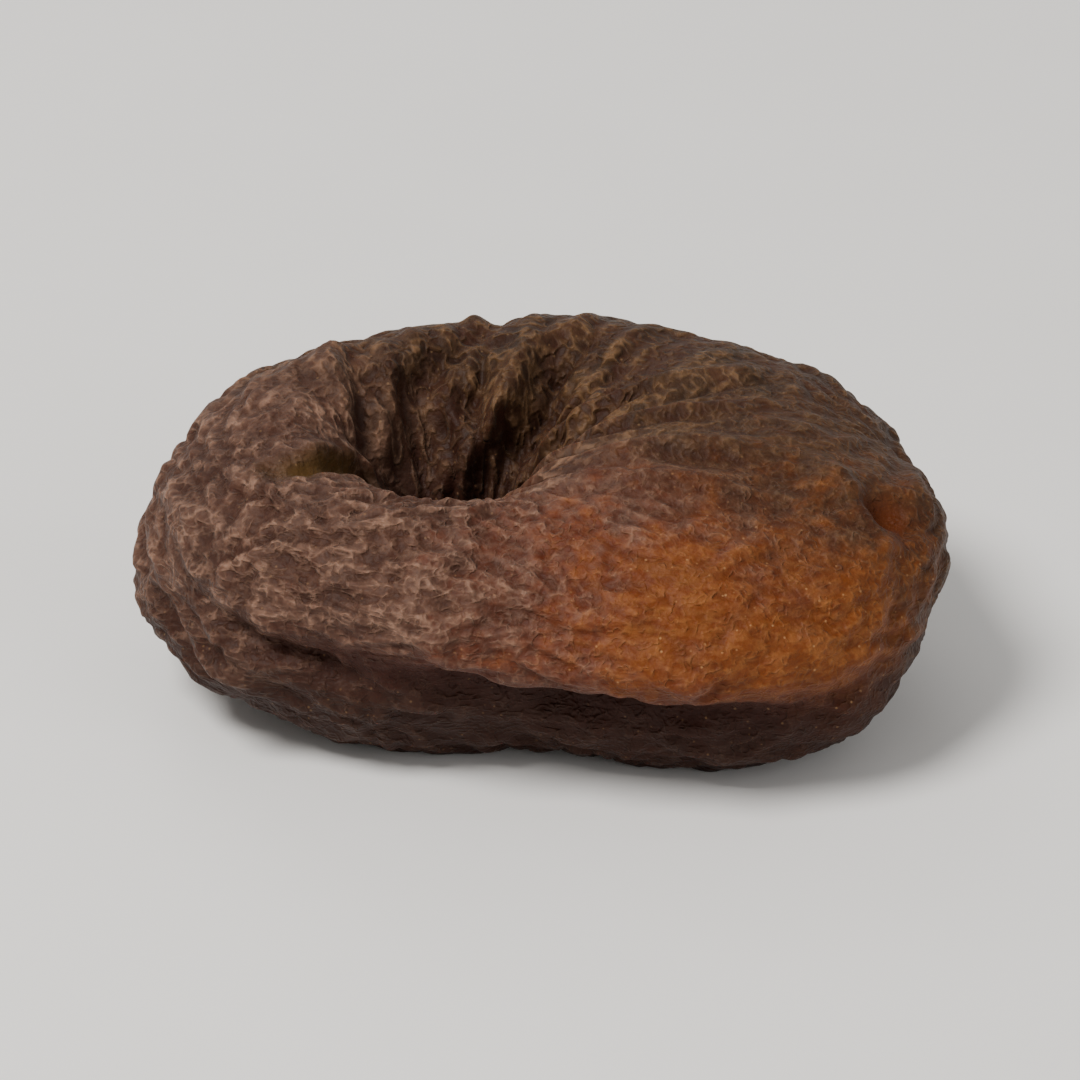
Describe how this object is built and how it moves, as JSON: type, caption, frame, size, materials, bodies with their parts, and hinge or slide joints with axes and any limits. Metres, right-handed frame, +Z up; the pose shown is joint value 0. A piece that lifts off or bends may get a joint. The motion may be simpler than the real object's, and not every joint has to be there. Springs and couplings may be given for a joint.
{
  "type": "dried apricot",
  "caption": "Whole pitted dried apricot: a plump, wrinkled oval with a folded pit hollow in its upper side and a flat spot underneath to lie on.",
  "frame": {"origin": "middle of the bounding box's underside, on the surface the fruit lies on", "axes": "+X towards the stem end along the fruit's length, -Y towards the picture's viewer, +Z up, with the pit hollow facing up"},
  "size_m": [0.04, 0.0314, 0.0151],
  "materials": {
    "skin": "matte, finely wrinkled"
  },
  "bodies": {
    "root": {"dried_apricot": "skin"}
  },
  "joints": []
}
